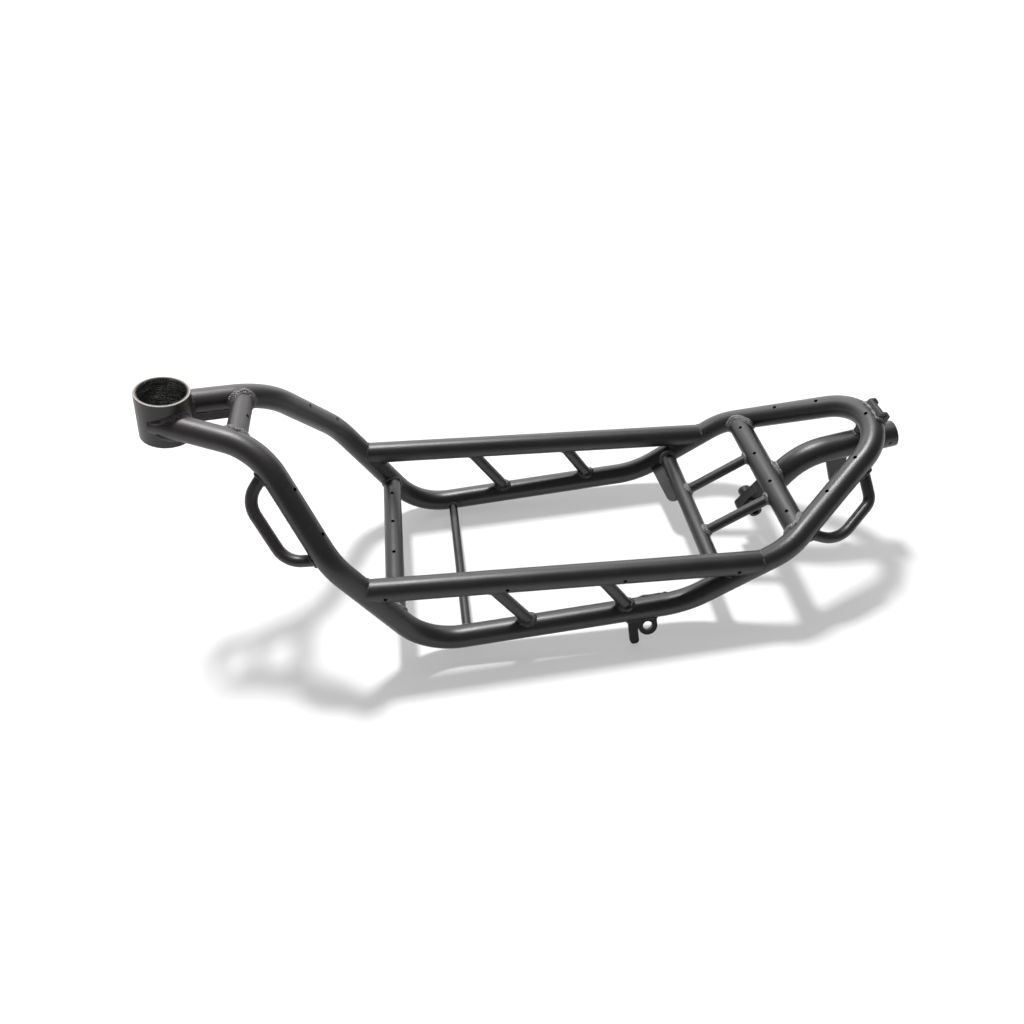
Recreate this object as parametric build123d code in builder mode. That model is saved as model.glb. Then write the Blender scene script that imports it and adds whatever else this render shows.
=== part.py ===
from build123d import *
import math
import os

os.makedirs("parts", exist_ok=True)

# Frame of reference: origin in the middle of the head tube's bore, x to the rear,
# y to the rider's right, z up. Points are (x, y, z) or, in a plane of the frame, (x, z).

# Tube stock: outside diameter and wall
rail_od, rail_wall = 30, 2
head_od, head_wall, head_length = 61.5, 3.7, 58
neck_tube_od = floor_tube_od = 25
rear_tube_od = 22
seat_tube_od = 30
arch_od, arch_wall = 35, 2.5
side_strut_od = 16
seat_strut_od = 14
cross_rod_od = 12.5
loop_rod_od = 14.5
cross_wall = 2
thin_wall = 1.5

# Angles
head_rake = 14.1
seat_slope = 27.7
deck_slope = 6.64

# Centre line of a main rail, as corners with a bend at each but the first and the last
rail_spacing = 270
neck_half_spacing = 15.5
shoulder_half_spacing = 55
lower_z = -317.5
loop_apex = (927.5, 0, -137)
rail_bends = (88, 82, 80, 117, 75, 67)

# Upper rails: a point on their centre line, in side view
deck_x, deck_z = 258.5, -213

# Cross members, in side view
neck_tube_at = (79, -23)
floor_tube_at = (217, -261)
cross_rod_at = (300.5, -319)
rear_tube_at = (636.5, -291.5)
seat_tube_at = (738, -237.5)

# Holes
bolt_hole = 5
bolt_pitch = 60
side_bolt_pitch = 146.5
stand_hole = 12.5
lug_hole = 6.5

half_spacing = rail_spacing / 2
rail_radius = rail_od / 2
deck_normal = (math.sin(math.radians(deck_slope)), 0, math.cos(math.radians(deck_slope)))
seat_normal = (-math.sin(math.radians(seat_slope)), 0, math.cos(math.radians(seat_slope)))
steering_axis = (math.sin(math.radians(head_rake)), 0, math.cos(math.radians(head_rake)))


def deck_point(x, y):
    # A point of an upper rail's centre line
    return (x, y, deck_z - (x - deck_x) * math.tan(math.radians(deck_slope)))


def rail_corners(side):
    # side is -1 for the rider's left and 1 for the right
    outer = side * half_spacing
    return [
        (-9.5, side * neck_half_spacing, 0.5),
        (103, side * shoulder_half_spacing, -29),
        (160, outer, -152.5),
        (246.5, outer, lower_z),
        (589.5, outer, lower_z),
        (719, outer, -246),
        loop_apex,
        (719, -outer, -246),
    ]


def straight_bar(start, end, diameter):
    # A filled round bar between two points, also used to cope a tube's end
    run = Vector(*end) - Vector(*start)
    with BuildPart() as bar:
        with BuildSketch(Plane(origin=start, z_dir=run)):
            Circle(diameter / 2)
        extrude(amount=run.length)
    return bar.part


def straight_tube(start, end, outside, wall):
    run = Vector(*end) - Vector(*start)
    with BuildPart() as tube:
        with BuildSketch(Plane(origin=start, z_dir=run)):
            Circle(outside / 2)
            Circle(outside / 2 - wall, mode=Mode.SUBTRACT)
        extrude(amount=run.length)
    return tube.part


def bent_bar(corners, bends, diameter):
    # A filled round bar along straight runs joined by bends
    with BuildPart() as bar:
        with BuildLine() as centre_line:
            FilletPolyline(*corners, radius=bends)
        with BuildSketch(Plane(origin=centre_line.line @ 0, z_dir=centre_line.line % 0)):
            Circle(diameter / 2)
        sweep()
    return bar.part


def bent_tube(corners, bends, outside, wall):
    with BuildPart() as tube:
        with BuildLine() as centre_line:
            FilletPolyline(*corners, radius=bends)
        with BuildSketch(Plane(origin=centre_line.line @ 0, z_dir=centre_line.line % 0)):
            Circle(outside / 2)
            Circle(outside / 2 - wall, mode=Mode.SUBTRACT)
        sweep()
    return tube.part


def drill(spots, outward, diameter, reach):
    # Holes from outside a tube through its near wall, square to a direction
    with Locations(*[Plane(origin=spot, z_dir=outward) for spot in spots]):
        Cylinder(diameter / 2, reach, align=(Align.CENTER, Align.CENTER, Align.MIN),
                 mode=Mode.SUBTRACT)


def save(piece, name):
    piece.label = name
    export_step(piece, f"parts/{name}.step")


def cope(*neighbours):
    # Shapes a tube's end to the outside of what it is welded to
    for neighbour in neighbours:
        add(neighbour, mode=Mode.SUBTRACT)


def across(at, reach):
    # The two ends of a cross member
    return (at[0], -reach, at[1]), (at[0], reach, at[1])


def side_view(*points):
    # Points (x, z) on the frame's middle plane
    return [(x, 0, z) for x, z in points]


# Filled shapes of the tubes that others are welded to
head_ends = [tuple(head_length / 2 * end * part for part in steering_axis) for end in (-1, 1)]
head_core = straight_bar(*head_ends, head_od)
rail_core = {side: bent_bar(rail_corners(side), rail_bends, rail_od) for side in (-1, 1)}
deck_ends = {side: (deck_point(187.5, side * half_spacing), deck_point(688, side * half_spacing))
             for side in (-1, 1)}
deck_core = {side: straight_bar(*deck_ends[side], rail_od) for side in (-1, 1)}
neck_core = straight_bar(*across(neck_tube_at, half_spacing), neck_tube_od)
rear_core = straight_bar(*across(rear_tube_at, half_spacing), rear_tube_od)
seat_core = straight_bar(*across(seat_tube_at, half_spacing), seat_tube_od)
arch_corners = side_view((750.5, -255.5), (785, -213), (908.5, -199))
arch_bend = 80
arch_core = bent_bar(arch_corners, [arch_bend], arch_od)

# Head tube, turned from thick tube
with BuildPart() as head_tube:
    with BuildSketch(Plane(origin=head_ends[0], z_dir=steering_axis)):
        Circle(head_od / 2)
        Circle(head_od / 2 - head_wall, mode=Mode.SUBTRACT)
    extrude(amount=head_length)
    rims = head_tube.faces().filter_by(GeomType.PLANE).edges()
    chamfer(rims, 0.6)
save(head_tube.part, "head_tube")

# Main rails: head tube, neck, floor, rise and half of the seat loop, each one bent tube
neck_hole_shares = {-1: (0.386, 0.765), 1: (0.459, 0.862)}
neck_hole_facing = {-1: (0.85, -0.16, 0.5), 1: (0.92, -0.05, 0.385)}
seat_hole_shares = (0.32, 0.535)
loop_turn = math.radians(60.15)
loop_inset = rail_bends[-1] * (1 / math.cos(loop_turn) - 1)
loop_middle = Vector(*loop_apex) + Vector(-seat_normal[2], 0, seat_normal[0]) * loop_inset
for side, hand in ((-1, "left"), (1, "right")):
    corners = [Vector(*corner) for corner in rail_corners(side)]
    neck_holes = [corners[1] + (corners[2] - corners[1]) * share for share in neck_hole_shares[side]]
    seat_holes = [corners[5] + (corners[6] - corners[5]) * share for share in seat_hole_shares]
    if side < 0:
        seat_holes.append(loop_middle + Vector(0, -3, 0))
    with BuildPart() as main_rail:
        add(bent_tube(rail_corners(side), rail_bends, rail_od, rail_wall))
        split(bisect_by=Plane.XZ, keep=Keep.TOP if side < 0 else Keep.BOTTOM)
        cope(head_core)
        drill(neck_holes, neck_hole_facing[side], bolt_hole, rail_od)
        drill(seat_holes, seat_normal, bolt_hole, rail_od)
    save(main_rail.part, f"{hand}_main_rail")

# Cross members between the main rails
with BuildPart() as front_cross_tube:
    add(straight_tube(*across(neck_tube_at, 47.5), neck_tube_od, cross_wall))
    cope(rail_core[-1], rail_core[1])
    drill([(neck_tube_at[0], -4.8, neck_tube_at[1])], (0.93, 0, 0.37), bolt_hole, rail_od)
save(front_cross_tube.part, "front_cross_tube")

bolt_row = [bolt_pitch * step for step in (-1.5, -0.5, 0.5, 1.5)]
with BuildPart() as floor_cross_tube:
    add(straight_tube(*across(floor_tube_at, half_spacing), floor_tube_od, cross_wall))
    cope(rail_core[-1], rail_core[1])
    drill([(floor_tube_at[0], y, floor_tube_at[1]) for y in bolt_row], deck_normal, bolt_hole, rail_od)
save(floor_cross_tube.part, "floor_cross_tube")

with BuildPart() as floor_cross_rod:
    add(straight_tube(*across(cross_rod_at, half_spacing), cross_rod_od, thin_wall))
    cope(rail_core[-1], rail_core[1])
save(floor_cross_rod.part, "floor_cross_rod")

with BuildPart() as rear_cross_tube:
    add(straight_tube(*across(rear_tube_at, half_spacing), rear_tube_od, cross_wall))
    cope(rail_core[-1], rail_core[1])
save(rear_cross_tube.part, "rear_cross_tube")

with BuildPart() as seat_cross_tube:
    add(straight_tube(*across(seat_tube_at, 122.5), seat_tube_od, cross_wall))
    cope(rail_core[-1], rail_core[1])
    drill([(seat_tube_at[0], y, seat_tube_at[1]) for y in bolt_row], seat_normal, bolt_hole, rail_od)
save(seat_cross_tube.part, "seat_cross_tube")

# Upper rails, with bolt holes in their outer sides
for side, hand in ((-1, "left"), (1, "right")):
    with BuildPart() as upper_rail:
        add(straight_tube(*deck_ends[side], rail_od, rail_wall))
        cope(rail_core[side])
        side_holes = [deck_point(213 + side_bolt_pitch * step, side * half_spacing) for step in range(4)]
        drill(side_holes, (0, side, -0.08), bolt_hole, rail_od)
    save(upper_rail.part, f"{hand}_upper_rail")

# Leaning struts between the upper rails and the floor
strut_feet = {"front": (335.5, 389), "rear": (474, 518)}
for side, hand in ((-1, "left"), (1, "right")):
    for place, (top_x, foot_x) in strut_feet.items():
        with BuildPart() as strut:
            top = deck_point(top_x, side * half_spacing)
            foot = (foot_x, side * half_spacing, lower_z)
            add(straight_tube(top, foot, side_strut_od, thin_wall))
            cope(deck_core[side], rail_core[side])
        save(strut.part, f"{hand}_{place}_strut")

# Slim struts that tie the seat cross tube down to the rear cross tube
for side, hand in ((-1, "left"), (1, "right")):
    with BuildPart() as seat_strut:
        low = (rear_tube_at[0], side * 43.5, rear_tube_at[1])
        high = (seat_tube_at[0], side * 43.5, seat_tube_at[1])
        add(straight_tube(low, high, seat_strut_od, thin_wall))
        cope(rear_core, seat_core)
    save(seat_strut.part, f"{hand}_seat_strut")

# Arch tube from the seat cross tube back under the loop, open at the rear
with BuildPart() as arch_tube:
    add(bent_tube(arch_corners, [arch_bend], arch_od, arch_wall))
    cope(seat_core)
    drill([(896.7, 0, -200.3)], (0, -1, 0), bolt_hole, arch_od)
save(arch_tube.part, "arch_tube")

# Saddle that seats the loop on the arch tube
with BuildPart() as loop_saddle:
    with BuildSketch(Plane.XZ):
        with BuildLine():
            Polyline((851.5, -194), (854.5, -184), (857.5, -176), (866.5, -169), (880.5, -175),
                     (886, -184), (888, -194), close=True)
        make_face()
    extrude(amount=4.5, both=True)
    cope(rail_core[-1], arch_core)
save(loop_saddle.part, "loop_saddle")

# Shock bracket: a channel that hangs from the seat cross tube and the arch tube's foot
bush_at = (720.8, -285)
bush_od, bush_bore, bush_length = 18, 10.5, 46
bush_core = straight_bar(*across(bush_at, bush_length / 2), bush_od)
with BuildPart() as shock_bracket:
    with BuildSketch(Plane.XZ):
        with BuildLine():
            FilletPolyline((740.5, -241.8), (701, -290.3), (705.5, -303), (724, -305), (753, -254),
                           radius=7, close=True)
        make_face()
    extrude(amount=8, both=True)
    with BuildSketch(Plane.XZ):
        with BuildLine():
            Polyline((742.5, -243.4), (702.8, -292.1), (700, -330), (770, -330), (770, -254), close=True)
        make_face()
    extrude(amount=5.5, both=True, mode=Mode.SUBTRACT)
    cope(seat_core, arch_core, bush_core)
save(shock_bracket.part, "shock_bracket")

with BuildPart() as shock_bush:
    add(straight_tube(*across(bush_at, bush_length / 2), bush_od, (bush_od - bush_bore) / 2))
save(shock_bush.part, "shock_bush")

# Lug under the arch tube, on the middle plane
with BuildPart() as arch_lug:
    with BuildSketch(Plane.XZ):
        with BuildLine():
            FilletPolyline((815.5, -210), (834.5, -273), (849, -273), (850.5, -210), radius=7, close=True)
        make_face()
        with Locations((841.5, -264)):
            Circle(lug_hole / 2, mode=Mode.SUBTRACT)
    extrude(amount=2.5, both=True)
    cope(arch_core)
save(arch_lug.part, "arch_lug")

# Rear bracket on top of the loop: a web with two ears that hold a cross pin
pin_at = (880.2, -154.6)
pin_core = straight_bar(*across(pin_at, 18.5), 4.5)
with BuildPart() as rear_bracket:
    with BuildSketch(Plane.XZ):
        with BuildLine():
            FilletPolyline((866, -158), (873.5, -147.8), (882, -148), (886.5, -154.6), (884, -163),
                           (874, -169), radius=3, close=True)
        make_face()
    extrude(amount=17.5, both=True)
    with BuildSketch(Plane.XZ):
        with BuildLine():
            Polyline((862, -168.5), (878.3, -146.3), (900, -146.3), (900, -180), (862, -180), close=True)
        make_face()
    extrude(amount=14.5, both=True, mode=Mode.SUBTRACT)
    cope(rail_core[-1], pin_core)
save(rear_bracket.part, "rear_bracket")

with BuildPart() as rear_bracket_pin:
    add(pin_core)
save(rear_bracket_pin.part, "rear_bracket_pin")

# Side-stand bracket: a thick plate welded under the left rail, leaning outwards
stand_lean = math.radians(28)
stand_plane = Plane(origin=(536.5, -147, -326.5), x_dir=(1, 0, 0),
                    z_dir=(0, -math.cos(stand_lean), math.sin(stand_lean)))
with BuildPart() as stand_bracket:
    with BuildSketch(stand_plane):
        with Locations((0, -10)):
            Circle(12.8)
        with Locations((-6.3, -3)):
            Rectangle(38.2, 18)
        with Locations((-19.4, -13.25)):
            RectangleRounded(12, 38.5, 5)
        with Locations((0, -10)):
            Circle(stand_hole / 2, mode=Mode.SUBTRACT)
    extrude(amount=-6)
    cope(rail_core[-1])
save(stand_bracket.part, "stand_bracket")

# Gusset in the right rear corner, flat in the plane of the rising rail and the cross tube
rise = Vector(719 - 589.5, 0, -246 - lower_z).normalized()
with BuildPart() as corner_gusset:
    with BuildSketch(Plane(origin=(rear_tube_at[0], 0, rear_tube_at[1]), x_dir=(0, 1, 0),
                           z_dir=(-rise.Z, 0, rise.X))):
        with BuildLine():
            FilletPolyline((125, -5), (36.5, -5), (36.5, 23), (125, 29.5), radius=(0, 0, 13, 0), close=True)
        make_face()
    extrude(amount=1.5, both=True)
    cope(rail_core[1], rear_core)
save(corner_gusset.part, "corner_gusset")

# Gussets under the neck: upright strips along the rails from the head tube to the cross tube
neck_run = Vector(*rail_corners(1)[1]) - Vector(*rail_corners(1)[0])
neck_reach = math.hypot(neck_run.X, neck_run.Y)
neck_fall = neck_run.Z / neck_reach
for side, hand in ((-1, "left"), (1, "right")):
    start = Vector(*rail_corners(side)[0])
    along = Vector(neck_run.X, side * neck_run.Y, 0).normalized()
    inward = Vector(side * along.Y, -side * along.X, 0)
    with BuildPart() as neck_gusset:
        with BuildSketch(Plane(origin=start + inward * 10, x_dir=along, z_dir=along.cross(Vector(0, 0, 1)))):
            with BuildLine():
                FilletPolyline((28, -4 + 28 * neck_fall), (28, -22 + 28 * neck_fall), (82, -22 + 82 * neck_fall),
                               (88, -4 + 88 * neck_fall), radius=(0, 0, 8, 0), close=True)
            make_face()
        extrude(amount=1.5, both=True)
        cope(head_core, rail_core[side], neck_core)
    save(neck_gusset.part, f"{hand}_neck_gusset")

# Hand loops of round bar on the left rail
hand_loops = {
    "front": ([(110.5, -67, -48.5), (78.5, -84, -80), (109, -124.5, -145.5), (157, -129.5, -147)],
              (32, 30)),
    "rear": ([(835, -60, -185.5), (843, -90.5, -229.5), (790.5, -125, -257), (741, -121, -235)],
             (18, 39)),
}
for place, (corners, bends) in hand_loops.items():
    with BuildPart() as hand_loop:
        add(bent_bar(corners, bends, loop_rod_od))
        cope(rail_core[-1], seat_core)
    save(hand_loop.part, f"{place}_hand_loop")
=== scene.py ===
import bmesh
import bpy
import math
import random
from mathutils import Matrix, Vector, noise
from mathutils.bvhtree import BVHTree


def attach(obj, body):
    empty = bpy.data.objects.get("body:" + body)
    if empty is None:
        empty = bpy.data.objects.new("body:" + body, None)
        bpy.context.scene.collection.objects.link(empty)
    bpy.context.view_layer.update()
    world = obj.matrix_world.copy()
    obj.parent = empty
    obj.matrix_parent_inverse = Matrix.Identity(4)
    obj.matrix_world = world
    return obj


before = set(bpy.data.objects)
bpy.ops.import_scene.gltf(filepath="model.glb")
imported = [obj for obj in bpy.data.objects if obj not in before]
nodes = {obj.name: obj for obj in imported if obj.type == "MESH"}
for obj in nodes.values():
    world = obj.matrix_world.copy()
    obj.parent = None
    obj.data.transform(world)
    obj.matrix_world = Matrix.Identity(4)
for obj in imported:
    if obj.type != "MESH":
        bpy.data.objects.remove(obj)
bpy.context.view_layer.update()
print("frame loaded:", len(nodes), "pieces")

headRake = math.radians(14.1)   # how far the head tube's axis leans back
noiseSpan = (0.3, 0.7)          # a noise texture's values mostly lie between these


def linearColour(code):
    # sRGB hex to the linear colour that the shader wants
    channels = [int(code[i:i + 2], 16) / 255 for i in (1, 3, 5)]
    return tuple(c / 12.92 if c <= 0.04045 else ((c + 0.055) / 1.055) ** 2.4 for c in channels) + (1,)


def addNode(tree, kind, settings=None, **links):
    # a node with its settings and inputs; an input goes by its name, or by i and its number, and is given a
    # value or another node's socket
    node = tree.nodes.new(kind)
    for key, value in (settings or {}).items():
        setattr(node, key, value)
    for key, value in links.items():
        name = int(key[1:]) if key[0] == "i" and key[1:].isdigit() else key.replace("_", " ")
        if isinstance(value, bpy.types.NodeSocket):
            tree.links.new(value, node.inputs[name])
        else:
            node.inputs[name].default_value = value
    return node


def newMaterial(name):
    material = bpy.data.materials.new(name)
    material.use_nodes = True
    material.node_tree.nodes.clear()
    return material, material.node_tree


def metres(*point):
    # the solids are drawn in mm
    return Vector(point) / 1000


tubePaint = {
    "fresh": "#121213", "dusty": "#1b1a1b",
    "patch": 45,                            # mm, slow change of tone along a tube
    "warm": "#33292a", "warmth": 0.5,       # browner where the neck was handled
    "warmUntil": (60, 140),                 # mm behind the head tube, where that tone fades
    "duller": 0.15,                         # how much rougher that tone makes it
    "roughness": (0.36, 0.43), "ior": 1.58,
    "peel": 1.6,                            # mm, waves of the sprayed coat
    "grain": 0.45, "grainShare": 0.35,      # mm, fine grain of the coat, and its share of the relief
    "bumpy": 0.32, "relief": 0.4,           # mm
}
platePaint = dict(tubePaint, fresh="#111010", dusty="#1c1b1a", patch=18, ior=1.5, roughness=(0.4, 0.47), bumpy=0.5)
# the welds' lighter spots at random are dust in part, and in part painted glints that stand in for the lamps
# sparkling on a rough bead
weldGlintPaint = dict(tubePaint, fresh="#1a1a1a", dusty="#7a7a79", patch=2.6, peel=1.1, roughness=(0.28, 0.35),
                 bumpy=1.0)
fullPaint = dict(weldGlintPaint, fresh="#131313", dusty="#353434", roughness=(0.32, 0.39))


def coatedSteel(name, look):
    # satin black paint baked on steel: a dark body, a soft mirror of the lamps and a faint orange peel
    material, tree = newMaterial(name)
    spot = addNode(tree, "ShaderNodeTexCoord").outputs["Object"]
    patch = addNode(tree, "ShaderNodeTexNoise", Vector=spot, Scale=1000 / look["patch"], Detail=3.0)
    peel = addNode(tree, "ShaderNodeTexNoise", Vector=spot, Scale=1000 / look["peel"], Detail=2.0)
    grain = addNode(tree, "ShaderNodeTexNoise", Vector=spot, Scale=1000 / look["grain"], Detail=2.0)
    tone = addNode(tree, "ShaderNodeMix", {"data_type": "RGBA"}, Factor=patch.outputs["Fac"],
                   i6=linearColour(look["fresh"]), i7=linearColour(look["dusty"]))
    rearward = addNode(tree, "ShaderNodeSeparateXYZ", Vector=spot).outputs["X"]
    near, far = look["warmUntil"]
    warmth = addNode(tree, "ShaderNodeMapRange", Value=rearward, From_Min=near / 1000, From_Max=far / 1000,
                     To_Min=look["warmth"], To_Max=0.0)
    tone = addNode(tree, "ShaderNodeMix", {"data_type": "RGBA"}, Factor=warmth.outputs[0],
                   i6=tone.outputs[2], i7=linearColour(look["warm"]))
    low, high = look["roughness"]
    rough = addNode(tree, "ShaderNodeMapRange", Value=patch.outputs["Fac"], From_Min=noiseSpan[0],
                    From_Max=noiseSpan[1], To_Min=low, To_Max=high)
    duller = addNode(tree, "ShaderNodeMath", {"operation": "MULTIPLY_ADD"}, i0=warmth.outputs[0],
                     i1=look["duller"], i2=rough.outputs[0])
    height = addNode(tree, "ShaderNodeMath", {"operation": "MULTIPLY_ADD"}, i0=grain.outputs["Fac"],
                     i1=look["grainShare"], i2=peel.outputs["Fac"])
    bump = addNode(tree, "ShaderNodeBump", Strength=look["bumpy"], Distance=look["relief"] / 1000,
                   Height=height.outputs[0])
    shader = addNode(tree, "ShaderNodeBsdfPrincipled", Base_Color=tone.outputs[2],
                     Roughness=duller.outputs[0], IOR=look["ior"], Normal=bump.outputs[0])
    addNode(tree, "ShaderNodeOutputMaterial", Surface=shader.outputs[0])
    return material


satinBlackTube = coatedSteel("satinBlackTube", tubePaint)       # drawn tube: even, with a long clean highlight
satinBlackPlate = coatedSteel("satinBlackPlate", platePaint)    # cut plate: a rougher coat with a duller shine
dustyWeldWithPaintedGlints = coatedSteel("dustyWeldWithPaintedGlints", weldGlintPaint)   # weld with pale grey puddles, partly dust and partly painted glints
fullyCoatedWeld = coatedSteel("fullyCoatedWeld", fullPaint)     # weld under the whole coat: dark, its small glints partly painted in as lighter spots

headFinish = {
    "fresh": "#151414", "dusty": "#2a2425",                     # the paint outside
    "patch": 30, "peel": 1.6,                                   # mm
    "halfLength": 29.0, "rim": 0.65, "bore": 27.1,              # mm, where the paint ends
    "machined": "#5d5856", "wornEdgeHighlight": "#8f8b89",
    "edgeHighlightFrom": (28.9, 29.5),                                   # mm from the axis, brighter outwards: rubbed in part, and in part a painted highlight on the rim's outer edge
    "roughness": (0.4, 0.45),                                   # of the paint and of the bare steel
    "bumpy": 0.2, "relief": 0.5,                                # mm
}


def headTubeFinish(look):
    # steel tube turned to length: painted outside, with rims left bright and a bore left as the tool cut it; the
    # rims lighten towards their outer edge, partly wear and partly a painted highlight
    material, tree = newMaterial("turnedHeadTube")
    spot = addNode(tree, "ShaderNodeTexCoord").outputs["Object"]
    axis = (math.sin(headRake), 0, math.cos(headRake))
    along = addNode(tree, "ShaderNodeVectorMath", {"operation": "DOT_PRODUCT"}, i0=spot, i1=axis).outputs["Value"]
    onAxis = addNode(tree, "ShaderNodeVectorMath", {"operation": "SCALE"}, i0=axis, Scale=along).outputs[0]
    offAxis = addNode(tree, "ShaderNodeVectorMath", {"operation": "DISTANCE"}, i0=spot, i1=onAxis).outputs["Value"]
    ends = addNode(tree, "ShaderNodeMath", {"operation": "ABSOLUTE"}, i0=along).outputs[0]
    rim = addNode(tree, "ShaderNodeMath", {"operation": "GREATER_THAN"}, i0=ends,
                  i1=(look["halfLength"] - look["rim"]) / 1000).outputs[0]
    bore = addNode(tree, "ShaderNodeMath", {"operation": "LESS_THAN"}, i0=offAxis,
                   i1=look["bore"] / 1000).outputs[0]
    bare = addNode(tree, "ShaderNodeMath", {"operation": "MAXIMUM"}, i0=rim, i1=bore).outputs[0]
    patch = addNode(tree, "ShaderNodeTexNoise", Vector=spot, Scale=1000 / look["patch"], Detail=3.0).outputs["Fac"]
    peel = addNode(tree, "ShaderNodeTexNoise", Vector=spot, Scale=1000 / look["peel"], Detail=2.0).outputs["Fac"]
    body = addNode(tree, "ShaderNodeMix", {"data_type": "RGBA"}, Factor=patch,
                   i6=linearColour(look["fresh"]), i7=linearColour(look["dusty"])).outputs[2]
    inner, outer = look["edgeHighlightFrom"]
    # the bare rims grow lighter outwards: wear in part, and in part a painted highlight on the outer edge
    wornEdgeHighlight = addNode(tree, "ShaderNodeMapRange", Value=offAxis, From_Min=inner / 1000,
                   From_Max=outer / 1000).outputs[0]
    turned = addNode(tree, "ShaderNodeMix", {"data_type": "RGBA"}, Factor=wornEdgeHighlight,
                     i6=linearColour(look["machined"]), i7=linearColour(look["wornEdgeHighlight"])).outputs[2]
    colour = addNode(tree, "ShaderNodeMix", {"data_type": "RGBA"}, Factor=bare, i6=body, i7=turned).outputs[2]
    painted, cut = look["roughness"]
    rough = addNode(tree, "ShaderNodeMapRange", Value=bare, To_Min=painted, To_Max=cut).outputs[0]
    bump = addNode(tree, "ShaderNodeBump", Strength=look["bumpy"], Distance=look["relief"] / 1000, Height=peel)
    shader = addNode(tree, "ShaderNodeBsdfPrincipled", Base_Color=colour, Roughness=rough, Metallic=bare,
                     Normal=bump.outputs[0])
    addNode(tree, "ShaderNodeOutputMaterial", Surface=shader.outputs[0])
    return material


turnedHeadTube = headTubeFinish(headFinish)

plateNodes = ("shock_bracket", "shock_bush", "arch_lug", "rear_bracket", "rear_bracket_pin", "stand_bracket",
              "corner_gusset", "loop_saddle", "left_neck_gusset", "right_neck_gusset")
for name, node in nodes.items():
    finish = satinBlackPlate if name in plateNodes else satinBlackTube
    if name == "head_tube":
        finish = turnedHeadTube
    node.data.materials.clear()
    node.data.materials.append(finish)
print("finishes set")

grooves = {
    "outer": 27.02, "crest": 26.25, "root": 26.85, "pitch": 2.4,    # mm, radii, and one ring to the next
    "from": -28.2, "to": 28.2, "steps": 96,                         # mm along the axis, and steps round it
    "dark": "#1b1b1a", "light": "#b4b4b1",
    "streak": (26, 1.5), "speck": 1.3,                              # mm, a streak round the bore and across it
    "toneFrom": (0.25, 0.37),                                       # streak times speck, at dark and at light
    "roughness": 0.42, "metallic": 0.5,
    "bumpy": 0.7, "relief": 0.6,                                    # mm
}


def roughTurnedSteel(look):
    # bare mild steel from a coarse boring cut, coloured dark with bright specks that run in streaks round the bore
    material, tree = newMaterial("roughTurnedSteel")
    spot = addNode(tree, "ShaderNodeTexCoord").outputs["Object"]
    longway, across = look["streak"]
    level = addNode(tree, "ShaderNodeMapping", Vector=spot, Rotation=(0, -headRake, 0))
    stretched = addNode(tree, "ShaderNodeMapping", Vector=level.outputs[0],
                        Scale=(1000 / longway, 1000 / longway, 1000 / across))
    streak = addNode(tree, "ShaderNodeTexNoise", Vector=stretched.outputs[0], Scale=1.0, Detail=4.0, Roughness=0.7)
    speck = addNode(tree, "ShaderNodeTexNoise", Vector=spot, Scale=1000 / look["speck"], Detail=3.0, Roughness=0.7)
    both = addNode(tree, "ShaderNodeMath", {"operation": "MULTIPLY"}, i0=streak.outputs["Fac"],
                   i1=speck.outputs["Fac"])
    low, high = look["toneFrom"]
    tone = addNode(tree, "ShaderNodeMapRange", Value=both.outputs[0], From_Min=low, From_Max=high)
    colour = addNode(tree, "ShaderNodeMix", {"data_type": "RGBA"}, Factor=tone.outputs[0],
                     i6=linearColour(look["dark"]), i7=linearColour(look["light"]))
    bump = addNode(tree, "ShaderNodeBump", Strength=look["bumpy"], Distance=look["relief"] / 1000,
                   Height=both.outputs[0])
    shader = addNode(tree, "ShaderNodeBsdfPrincipled", Base_Color=colour.outputs[2], Roughness=look["roughness"],
                     Metallic=look["metallic"], Normal=bump.outputs[0])
    addNode(tree, "ShaderNodeOutputMaterial", Surface=shader.outputs[0])
    return material


def boreGrooves(look):
    # a thin lining whose inner side is cut in rings, spun round the head tube's axis
    mesh = bmesh.new()
    length = look["to"] - look["from"]
    count = round(length / look["pitch"] * 2)
    line = [(look["outer"], look["from"])]
    for i in range(count + 1):
        line.append((look["root"] if i % 2 else look["crest"], look["from"] + length * i / count))
    line.append((look["outer"], look["to"]))
    points = [mesh.verts.new((r / 1000, 0, z / 1000)) for r, z in line]
    edges = [mesh.edges.new(pair) for pair in zip(points, points[1:] + points[:1])]
    bmesh.ops.spin(mesh, geom=points + edges, cent=(0, 0, 0), axis=(0, 0, 1), angle=2 * math.pi,
                   steps=look["steps"], use_merge=True)
    bmesh.ops.rotate(mesh, verts=mesh.verts, cent=(0, 0, 0), matrix=Matrix.Rotation(headRake, 3, "Y"))
    bmesh.ops.recalc_face_normals(mesh, faces=mesh.faces)
    data = bpy.data.meshes.new("bore_grooves")
    mesh.to_mesh(data)
    mesh.free()
    piece = bpy.data.objects.new("bore_grooves", data)
    bpy.context.scene.collection.objects.link(piece)
    data.materials.append(roughTurnedSteel(look))
    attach(piece, "root")


boreGrooves(grooves)
print("bore grooves cut")

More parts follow.
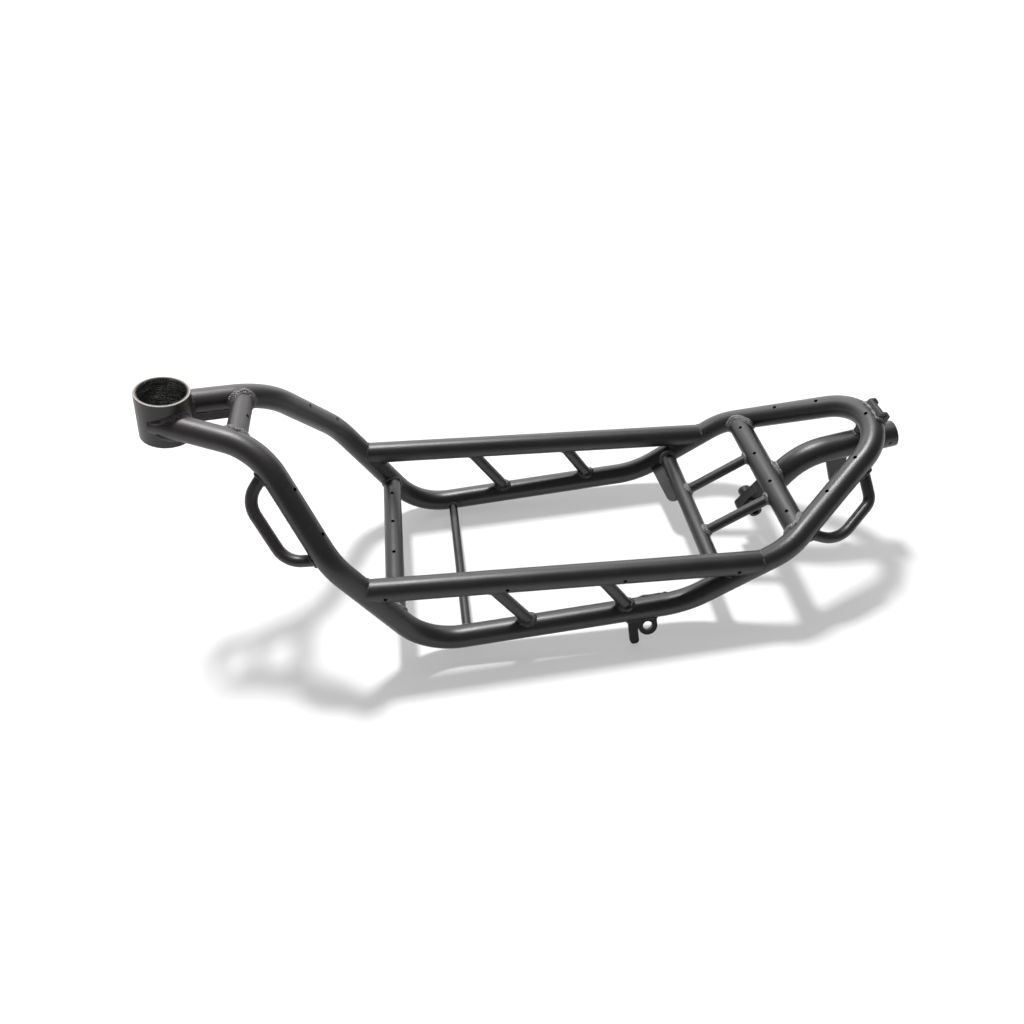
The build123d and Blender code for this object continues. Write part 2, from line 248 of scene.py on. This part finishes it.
bead = {
    "size": 2.0,                            # mm, half the width of a bead
    "step": 0.7,                            # mm between the points of its line
    "proud": 0.4,                           # mm, its middle above the two surfaces
    "ripple": 2.4, "depth": 0.18,           # mm from one puddle to the next, and how far they cut in
    "lumps": 0.4, "lumpScale": 140,         # how unevenly the hand laid it, and how often in a metre
    "wander": 0.6, "wanderScale": 220,      # mm that its line strays, and how often in a metre
    "shift": 9,                             # radians, the most that a run's ripples are moved along
    "endWidth": 0.45, "endGrowth": 0.15,    # an open end's share of the width, and what each point adds
    "besideSize": 0.9, "besideSink": 0.55,  # of the first bead's size, for the beads each side of it
    "gap": 12,                              # mm, a wider gap parts a line
    "rays": 72, "inside": 0.99, "far": 2,   # round a tube, at this share of its radius, to this many runs off
    "seed": 11,
}
plateEdge = {
    "merge": 2e-6,                          # metres, corners of a plate's triangles that are one point
    "sharp": 0.3,                           # radians, the least turn of an edge
    "reach": 0.5,                           # mm from the neighbour's surface
}
weldsWithPaintedGlints = ("weld_cross_tubes", "weld_seat_struts", "weld_arch", "weld_rear_bracket", "weld_shock_bracket")
noise.seed_set(bead["seed"])                # the same wander at each run
trees = {}
for name, node in nodes.items():
    mesh = node.data
    points, faces = [v.co for v in mesh.vertices], [tuple(p.vertices) for p in mesh.polygons]
    trees[name] = BVHTree.FromPolygons(points, faces)


def evenLine(points, closed, step):
    # the same line with points at even steps
    line = points + points[:1] if closed else points
    reach = [0.0]
    for a, b in zip(line, line[1:]):
        reach.append(reach[-1] + (b - a).length)
    count = max(4, round(reach[-1] / step))
    result, k = [], 0
    for i in range(count if closed else count + 1):
        goal = reach[-1] * i / count
        while k < len(line) - 2 and reach[k + 1] < goal:
            k += 1
        gap = reach[k + 1] - reach[k]
        result.append(line[k].lerp(line[k + 1], 0 if gap == 0 else (goal - reach[k]) / gap))
    return result


def ringSpots(start, end, target, radius, sink=0.0, shift=0.0):
    # rays along a tube's outside find the line where it meets its neighbour; shift moves a further pass up
    # the tube, or out over the neighbour where it is negative
    axis = (end - start).normalized()
    side = axis.orthogonal().normalized()
    top = axis.cross(side)
    spots = []
    for step in range(bead["rays"]):
        turn = 2 * math.pi * step / bead["rays"]
        out = side * math.cos(turn) + top * math.sin(turn)
        origin = start + out * (radius / 1000) * bead["inside"]
        hit, normal = trees[target].ray_cast(origin, axis, bead["far"] * (end - start).length)[:2]
        if hit is not None and shift > 0:
            hit, normal = hit - axis * shift / 1000, out
        elif hit is not None and shift < 0:
            hit, normal = trees[target].find_nearest(hit - out * shift / 1000)[:2]
            out = normal
        if hit is not None:
            hit = hit + (normal + out).normalized() * (bead["proud"] - sink) / 1000
        spots.append(hit)
    return spots


def weldPasses(start, end, target, radius, size, wide=0.0, sink=0.0):
    # one bead in the crease, and where the joint was built up, one more each side of it
    lines = [(ringSpots(start, end, target, radius, sink), True, size)]
    for shift in (wide, -wide) if wide else ():
        beside = ringSpots(start, end, target, radius, sink + size * bead["besideSink"], shift)
        lines.append((beside, True, size * bead["besideSize"]))
    return lines


def seamSpots(name, target):
    # the sharp edges of a plate that lie on its neighbour's surface, chained into lines
    copy = bmesh.new()
    copy.from_mesh(nodes[name].data)
    bmesh.ops.remove_doubles(copy, verts=copy.verts, dist=plateEdge["merge"])
    copy.normal_update()
    beside = {}
    for edge in copy.edges:
        if len(edge.link_faces) != 2 or edge.calc_face_angle(0) < plateEdge["sharp"]:
            continue
        if all(trees[target].find_nearest(v.co, plateEdge["reach"] / 1000)[0] is not None for v in edge.verts):
            a, b = edge.verts
            beside.setdefault(a, []).append(b)
            beside.setdefault(b, []).append(a)
    lines, used = [], set()
    for first in sorted(beside, key=lambda v: (len(beside[v]) > 1, v.index)):   # a line's loose end comes first
        if first in used:
            continue
        path, here = [], first
        while here is not None:
            used.add(here)
            path.append(here)
            here = next((v for v in beside[here] if v not in used), None)
        closed = len(path) > 3 and path[0] in beside[path[-1]]
        if len(path) > 1:
            lines.append((evenLine([v.co.copy() for v in path], closed, bead["step"] / 1000), closed))
    copy.free()
    return lines


def splitRuns(spots, closed):
    # a line with gaps where rays met nothing becomes several open runs
    widest = bead["gap"] / 1000
    if closed and None not in spots:
        if max((a - b).length for a, b in zip(spots, spots[1:] + spots[:1])) < widest:
            return [(spots, True)]
    elif closed:
        cut = spots.index(None)
        spots = spots[cut:] + spots[:cut]
    runs, run = [], []
    for spot in spots + [None]:
        if spot is None or (run and (spot - run[-1]).length > widest):
            if len(run) > 2:
                runs.append((run, False))
            run = []
        if spot is not None:
            run.append(spot)
    return runs


def weldPiece(name, lines):
    # lines: (spots, closed, half width in mm)
    curve = bpy.data.curves.new(name, "CURVE")
    curve.dimensions = "3D"
    curve.bevel_depth = bead["size"] / 1000
    curve.bevel_resolution = 2
    curve.use_fill_caps = True
    dice = random.Random(bead["seed"] + len(name))
    for spots, closed, size in lines:
        for run, ring in splitRuns(spots, closed):
            points = evenLine(run, ring, bead["step"] / 1000)
            spline = curve.splines.new("POLY")
            spline.points.add(len(points) - 1)
            spline.use_cyclic_u = ring
            shift = dice.random() * bead["shift"]
            for i, point in enumerate(points):
                wave = math.sin(2 * math.pi * i * bead["step"] / bead["ripple"] + shift)
                slow = noise.noise(point * bead["lumpScale"] + Vector((shift, 0, 0)))
                width = size / bead["size"] * (1 + bead["depth"] * wave + bead["lumps"] * slow)
                if not ring:
                    width *= min(1, bead["endWidth"] + min(i, len(points) - 1 - i) * bead["endGrowth"])
                wander = noise.noise_vector(point * bead["wanderScale"]) * (bead["wander"] / 1000)
                spline.points[i].co = (*(point + wander), 1)
                spline.points[i].radius = width
    piece = bpy.data.objects.new(name, curve)
    bpy.context.scene.collection.objects.link(piece)
    piece.data.materials.append(dustyWeldWithPaintedGlints if name in weldsWithPaintedGlints else fullyCoatedWeld)
    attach(piece, "root")


# where the tubes are welded, in mm, with y for the right side; of each bead, half its width, how far the joint
# was built up beside it, and how deep it lies
sides = {"left": -1, "right": 1}
neck = {"from": (103, 55, -29), "to": (-9.5, 15.5, 0.5), "bead": {"radius": 15, "size": 2.4, "wide": 2.4}}
crossTubeAim = 100              # a point of a cross tube's line, short of the rail
crossTubes = (                  # x, z, radius, bead, how far it was built up
    (79, -23, 12.5, 2.6, 3.0), (217, -261, 12.5, 2.0, 0), (300.5, -319, 6.25, 1.5, 0),
    (636.5, -291.5, 11, 2.2, 2.2), (738, -237.5, 15, 2.4, 3.0),
)
upperRail = {
    "at": (258.5, 135, -213), "fall": 6.64,                         # degrees, towards the rear
    "middle": 437, "ends": (187.5, 688),                            # x
    "bead": {"radius": 15, "size": 2.2, "wide": 2.4, "sink": 2.0},
}
strut = {
    "ends": ((335.5, 389), (474, 518)), "footZ": -317.5,            # x at the top and at the foot
    "top": {"radius": 8, "size": 1.5}, "foot": {"radius": 8, "size": 2.7, "wide": 2.2},
}
seatStrut = {
    "low": (636.5, 43.5, -291.5), "high": (738, 43.5, -237.5),
    "lowBead": {"radius": 7, "size": 2.2, "wide": 2.2}, "highBead": {"radius": 7, "size": 1.9, "wide": 1.6},
}
arch = {"from": (772, 0, -229), "to": (750.5, 0, -255.5), "bead": {"radius": 17.5, "size": 2.8, "wide": 3.4}}
handLoop = {
    "radius": 7.25, "rayFrom": 0.2,     # the share of the last run that is behind the rays
    "ends": (                           # from, to, bead
        ((78.5, -84, -80), (110.5, -67, -48.5), 1.8), ((109, -124.5, -145.5), (157, -129.5, -147), 1.8),
        ((843, -90.5, -229.5), (835, -60, -185.5), 2.6), ((790.5, -125, -257), (741, -121, -235), 2.0),
    ),
}
railTop = {"x": range(530, 569, 2), "y": -124.8, "z": -306.5, "size": 1.5}
seams = {                       # plate, its neighbour, bead
    "weld_shock_bracket": [("shock_bracket", "seat_cross_tube", 1.3), ("shock_bracket", "arch_tube", 1.2),
                           ("shock_bracket", "shock_bush", 1.0)],
    "weld_arch_lug": [("arch_lug", "arch_tube", 1.6)],
    "weld_rear_bracket": [("rear_bracket", "left_main_rail", 2.6), ("rear_bracket", "right_main_rail", 2.6)],
    "weld_saddle": [("loop_saddle", "left_main_rail", 1.6), ("loop_saddle", "right_main_rail", 1.6),
                    ("loop_saddle", "arch_tube", 1.8)],
    "weld_stand_bracket": [("stand_bracket", "left_main_rail", 1.8)],
    "weld_corner_gusset": [("corner_gusset", "right_main_rail", 1.3), ("corner_gusset", "rear_cross_tube", 1.3)],
    "weld_neck_gussets": [(hand + "_neck_gusset", other, 1.2) for hand in sides
                          for other in ("head_tube", hand + "_main_rail", "front_cross_tube")],
}
joints = {name: [] for name in ("weld_head", "weld_cross_tubes", "weld_upper_rails", "weld_struts",
                                "weld_seat_struts", "weld_arch", "weld_hand_loops")}


def sidePoint(point, side):
    x, y, z = point
    return metres(x, side * y, z)


def deckPoint(x, side):
    # on an upper rail's centre line
    startX, y, z = upperRail["at"]
    return metres(x, side * y, z - (x - startX) * math.tan(math.radians(upperRail["fall"])))


for hand, side in sides.items():
    rail = hand + "_main_rail"
    joints["weld_head"] += weldPasses(sidePoint(neck["from"], side), sidePoint(neck["to"], side), "head_tube",
                                      **neck["bead"])
    for x, z, radius, size, wide in crossTubes:
        joints["weld_cross_tubes"] += weldPasses(metres(x, 0, z), metres(x, side * crossTubeAim, z), rail,
                                                 radius, size, wide)
    for x in upperRail["ends"]:
        joints["weld_upper_rails"] += weldPasses(deckPoint(upperRail["middle"], side), deckPoint(x, side), rail,
                                                 **upperRail["bead"])
    for topX, footX in strut["ends"]:
        top, foot = deckPoint(topX, side), sidePoint((footX, upperRail["at"][1], strut["footZ"]), side)
        middle = top.lerp(foot, 0.5)
        joints["weld_struts"] += weldPasses(middle, top, hand + "_upper_rail", **strut["top"])
        joints["weld_struts"] += weldPasses(middle, foot, rail, **strut["foot"])
    low, high = sidePoint(seatStrut["low"], side), sidePoint(seatStrut["high"], side)
    middle = low.lerp(high, 0.5)
    joints["weld_seat_struts"] += weldPasses(middle, low, "rear_cross_tube", **seatStrut["lowBead"])
    joints["weld_seat_struts"] += weldPasses(middle, high, "seat_cross_tube", **seatStrut["highBead"])
joints["weld_arch"] += weldPasses(metres(*arch["from"]), metres(*arch["to"]), "seat_cross_tube", **arch["bead"])
for start, end, size in handLoop["ends"]:
    first, last = metres(*start), metres(*end)
    joints["weld_hand_loops"] += weldPasses(first.lerp(last, handLoop["rayFrom"]), last, "left_main_rail",
                                            handLoop["radius"], size)
# a rough stretch left on the inner top of the left rail, behind the rear strut
joints["weld_rail_top"] = [([metres(x, railTop["y"], railTop["z"]) for x in railTop["x"]], False, railTop["size"])]
for name, pairs in seams.items():
    joints[name] = [(line, closed, size) for plate, other, size in pairs
                    for line, closed in seamSpots(plate, other)]
for name, lines in joints.items():
    weldPiece(name, lines)
print("weld beads laid:", sum(len(lines) for lines in joints.values()))

studio = {
    "floorSize": 16.0, "floorColour": "#b6b6b6",        # metres
    "floorAt": (262, 135, -332.8),                      # mm, under the right rail's front bend
    "floorSlope": (-0.05, 0.0425),                      # along x and y, so that it meets the stand bracket too
    "lift": (0.37, 1.0), "liftFrom": (0.5, 3.0),        # the paper's own light, near and far, and metres to each
    "liftAt": (0.2, -0.135, 0),                         # metres from the middle of the floor
    "room": 0.18, "farSide": (0.35, 0.75),              # dim, and white where a mirrored ray points this far to +y
    "key": {"at": (0.088, 1.225, 3.596), "size": (0.45, 0.45), "power": 215},
    "overhead": {"at": (0.5, 0.5, 1.6), "size": (2.4, 1.2), "power": 9},
    "rear": {"at": (0.45, 2.1, 0.7), "size": (3.2, 1.4), "power": 26},
    "aim": (0.45, 0, -0.25),
}


def paperFloor(look):
    # matt studio paper: it takes the frame's shadow, and is white to the camera away from it
    material, tree = newMaterial("studioPaper")
    path = addNode(tree, "ShaderNodeLightPath")
    seen = addNode(tree, "ShaderNodeMath", {"operation": "MAXIMUM"}, i0=path.outputs["Is Camera Ray"],
                   i1=path.outputs["Is Glossy Ray"])
    seenToo = addNode(tree, "ShaderNodeMath", {"operation": "MAXIMUM"}, i0=seen.outputs[0],
                      i1=path.outputs["Is Transmission Ray"])
    spot = addNode(tree, "ShaderNodeTexCoord").outputs["Object"]
    away = addNode(tree, "ShaderNodeVectorMath", {"operation": "DISTANCE"}, i0=spot, i1=look["liftAt"])
    near, far = look["liftFrom"]
    low, high = look["lift"]
    lift = addNode(tree, "ShaderNodeMapRange", Value=away.outputs["Value"], From_Min=near, From_Max=far,
                   To_Min=low, To_Max=high)
    strength = addNode(tree, "ShaderNodeMath", {"operation": "MULTIPLY"}, i0=lift.outputs[0], i1=seenToo.outputs[0])
    paper = addNode(tree, "ShaderNodeBsdfDiffuse", Color=linearColour(look["floorColour"]))
    glow = addNode(tree, "ShaderNodeEmission", Color=(1, 1, 1, 1), Strength=strength.outputs[0])
    both = addNode(tree, "ShaderNodeAddShader", i0=paper.outputs[0], i1=glow.outputs[0])
    addNode(tree, "ShaderNodeOutputMaterial", Surface=both.outputs[0])
    return material


floorMesh = bmesh.new()
bmesh.ops.create_grid(floorMesh, x_segments=1, y_segments=1, size=studio["floorSize"] / 2)
floorData = bpy.data.meshes.new("floor")
floorMesh.to_mesh(floorData)
floorMesh.free()
floor = bpy.data.objects.new("floor", floorData)
bpy.context.scene.collection.objects.link(floor)
slopeX, slopeY = studio["floorSlope"]
floor.location = metres(*studio["floorAt"])
floor.rotation_euler = Vector((0, 0, 1)).rotation_difference(Vector((-slopeX, -slopeY, 1))).to_euler()
floor.data.materials.append(paperFloor(studio))

# a dim room that the camera sees as white; the paint mirrors only its far side as white, and keeps dark bands
world = bpy.data.worlds.new("studioRoom")
world.use_nodes = True
room = world.node_tree
room.nodes.clear()
path = addNode(room, "ShaderNodeLightPath")
toward = addNode(room, "ShaderNodeSeparateXYZ", Vector=addNode(room, "ShaderNodeTexCoord").outputs["Generated"])
low, high = studio["farSide"]
farSide = addNode(room, "ShaderNodeMapRange", Value=toward.outputs["Y"], From_Min=low, From_Max=high)
mirrored = addNode(room, "ShaderNodeMath", {"operation": "MULTIPLY"}, i0=path.outputs["Is Glossy Ray"],
                   i1=farSide.outputs[0])
seen = addNode(room, "ShaderNodeMath", {"operation": "MAXIMUM"}, i0=path.outputs["Is Camera Ray"],
               i1=path.outputs["Is Transmission Ray"])
white = addNode(room, "ShaderNodeMath", {"operation": "MAXIMUM"}, i0=seen.outputs[0], i1=mirrored.outputs[0])
strength = addNode(room, "ShaderNodeMapRange", Value=white.outputs[0], To_Min=studio["room"], To_Max=1.0)
background = addNode(room, "ShaderNodeBackground", Color=(1, 1, 1, 1), Strength=strength.outputs[0])
addNode(room, "ShaderNodeOutputWorld", Surface=background.outputs[0])
bpy.context.scene.world = world

for name in ("key", "overhead", "rear"):
    look = studio[name]
    lamp = bpy.data.lights.new(name, "AREA")
    lamp.shape = "RECTANGLE"
    lamp.size, lamp.size_y = look["size"]
    lamp.energy = look["power"]
    lampObject = bpy.data.objects.new(name, lamp)
    lampObject.location = look["at"]
    lampObject.rotation_euler = (Vector(studio["aim"]) - Vector(look["at"])).to_track_quat("-Z", "Y").to_euler()
    lampObject.visible_camera = False
    bpy.context.scene.collection.objects.link(lampObject)

view = {                        # where the photograph was taken from, in metres, with its lens in mm
    "at": (0.3444, -0.8131, 0.5249),
    "right": (0.98800, -0.12826, -0.08605), "up": (0.15042, 0.67242, 0.72470),
    "lens": 28.73, "sensor": 36,
}
lens = bpy.data.cameras.new("camera")
lens.lens = view["lens"]
lens.sensor_width = view["sensor"]
camera = bpy.data.objects.new("camera", lens)
right, up = Vector(view["right"]), Vector(view["up"])
turn = Matrix((right, up, right.cross(up))).transposed().to_4x4()
camera.matrix_world = Matrix.Translation(view["at"]) @ turn
bpy.context.scene.collection.objects.link(camera)
bpy.context.scene.camera = camera
bpy.context.scene.view_settings.view_transform = "Standard"
print("studio ready")
